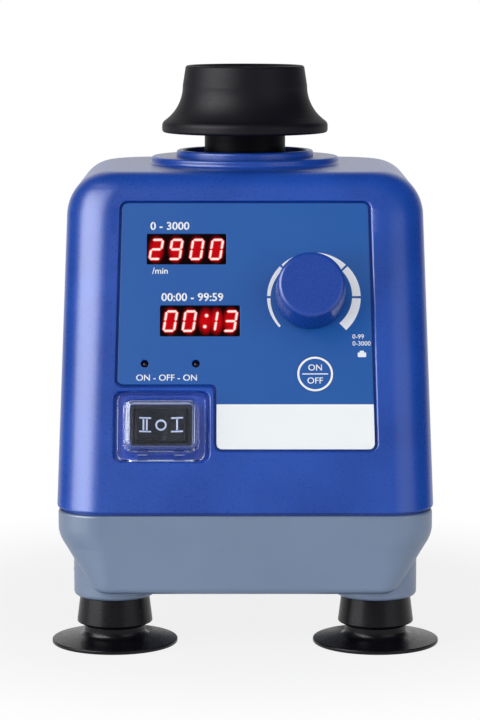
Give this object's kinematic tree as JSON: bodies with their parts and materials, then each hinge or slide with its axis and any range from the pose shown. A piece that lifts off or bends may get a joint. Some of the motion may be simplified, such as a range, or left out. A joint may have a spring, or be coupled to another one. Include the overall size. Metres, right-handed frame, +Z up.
{
  "type": "vortex mixer",
  "caption": "Benchtop vortex mixer with a sloped control panel, a rubber touch cup on an orbiting head, digital displays, a speed knob and suction feet.",
  "frame": {"origin": "on the bench below the middle of the overall box", "axes": "+Z up, -Y out of the control panel, +X to the right as the user faces the panel"},
  "size_m": [0.13, 0.1615, 0.1901],
  "materials": {
    "housing_blue": "fine grained moulded ABS",
    "knob_blue": "smooth satin moulding",
    "base_grey": "satin moulded ABS",
    "foot_rubber": "glossy moulded rubber",
    "cup_rubber": "satin moulded rubber",
    "carrier_black": "satin black",
    "zinc_steel": "zinc plated",
    "bright_steel": "ground",
    "ballast_paint": "grey primer",
    "black_plastic": "satin",
    "rocker_black": "semi-gloss",
    "red_plastic": "semi-gloss",
    "aluminium": "machined",
    "brass": "machined",
    "spring_steel": "drawn wire",
    "motor_paint": "powder coat",
    "core_steel": "laminated",
    "copper_wire": "enamelled winding",
    "overlay_blue": "printed film",
    "display_red": "red filter over lit digits",
    "board_green": "solder mask",
    "led_red": "tinted lens, unlit",
    "encoder_green": "moulded",
    "white_plastic": "moulded",
    "clear_boot": "clear soft moulding",
    "board_parts": "mixed parts",
    "nickel": "nickel plated"
  },
  "bodies": {
    "chassis": {"housing_shell": "housing_blue", "collar_ring": "housing_blue", "base_tray": "base_grey", "foot_front_left": "foot_rubber", "foot_front_right": "foot_rubber", "foot_rear_left": "foot_rubber", "foot_rear_right": "foot_rubber", "foot_studs": "zinc_steel", "foot_nuts": "zinc_steel", "housing_screws": "zinc_steel", "ballast_plate": "ballast_paint", "ballast_screws": "zinc_steel", "guide_posts": "bright_steel", "stop_screws": "zinc_steel", "touch_switch": "black_plastic", "spring_front_left": "spring_steel", "spring_front_right": "spring_steel", "spring_rear_left": "spring_steel", "spring_rear_right": "spring_steel", "control_overlay": "overlay_blue", "speed_display": "display_red", "timer_display": "display_red", "display_board": "board_green", "display_screws": "zinc_steel", "indicator_leds": "led_red", "tact_switch": "black_plastic", "encoder_body": "encoder_green", "encoder_nut": "zinc_steel", "switch_body": "black_plastic", "switch_boot": "clear_boot", "power_board": "board_green", "board_parts": "board_parts", "board_screws": "zinc_steel", "mains_inlet": "black_plastic", "inlet_pins": "nickel", "inlet_screws": "zinc_steel"},
    "motor_carriage": {"motor_plate": "aluminium", "plate_bushings": "brass", "motor_can": "motor_paint", "motor_cap": "aluminium", "motor_screws": "zinc_steel", "motor_bearings": "bright_steel", "stator_core": "core_steel", "stator_coils": "copper_wire"},
    "rotor": {"motor_shaft": "bright_steel", "rotor_core": "core_steel", "eccentric_hub": "aluminium", "counterweight": "brass", "head_bearing": "bright_steel"},
    "head": {"cup_carrier": "carrier_black", "splash_shield": "carrier_black", "touch_cup": "cup_rubber"},
    "switch_plunger": {"touch_plunger": "red_plastic"},
    "encoder_rotor": {"encoder_rotor": "white_plastic"},
    "speed_knob": {"encoder_shaft": "bright_steel", "knob": "knob_blue"},
    "run_stop_key": {"run_stop_key": "overlay_blue"},
    "rocker": {"rocker": "rocker_black"},
    "fuse_drawer": {"fuse_drawer": "black_plastic", "fuse": "nickel"}
  },
  "joints": [
    {"name": "touch_travel", "type": "slide", "parent": "chassis", "child": "motor_carriage", "axis": [0, 0, -1], "range_m": [0, 0.0015], "stiffness_N_per_m": 4000, "springref_m": -0.006, "deforming": ["spring_front_left", "spring_front_right", "spring_rear_left", "spring_rear_right"]},
    {"name": "shaft_spin", "type": "hinge", "parent": "motor_carriage", "child": "rotor", "pos_m": [0, 0.0215, 0.11], "axis": [0, 0, 1], "continuous": true},
    {"name": "head_counter_turn", "type": "hinge", "parent": "rotor", "child": "head", "pos_m": [0, 0.0195, 0.126], "axis": [0, 0, 1], "continuous": true},
    {"name": "touch_plunger_slide", "type": "slide", "parent": "chassis", "child": "switch_plunger", "axis": [0, 0, -1], "range_m": [0, 0.0015]},
    {"name": "knob_turn", "type": "hinge", "parent": "chassis", "child": "encoder_rotor", "pos_m": [0.0218, -0.04827, 0.11565], "axis": [0, -0.9205, 0.3907], "continuous": true},
    {"name": "knob_push", "type": "slide", "parent": "encoder_rotor", "child": "speed_knob", "axis": [0, 0.9205, -0.3907], "range_m": [0, 0.0005], "stiffness_N_per_m": 2000, "springref_m": -0.0015},
    {"name": "run_stop_press", "type": "slide", "parent": "chassis", "child": "run_stop_key", "axis": [0, 0.9205, -0.3907], "range_m": [0, 0.0004], "stiffness_N_per_m": 1500, "springref_m": -0.001},
    {"name": "rocker_tilt", "type": "hinge", "parent": "chassis", "child": "rocker", "pos_m": [-0.0278, -0.06428, 0.07334], "axis": [0, 0.3907, 0.9205], "range_deg": [-11, 11]},
    {"name": "fuse_drawer_slide", "type": "slide", "parent": "chassis", "child": "fuse_drawer", "axis": [0, 0.9998, 0.0175], "range_m": [0, 0.02]}
  ],
  "couplings": [
    {"joint": "head_counter_turn", "follows": "shaft_spin", "ratio": -1},
    {"joint": "touch_plunger_slide", "follows": "touch_travel", "ratio": 1}
  ]
}
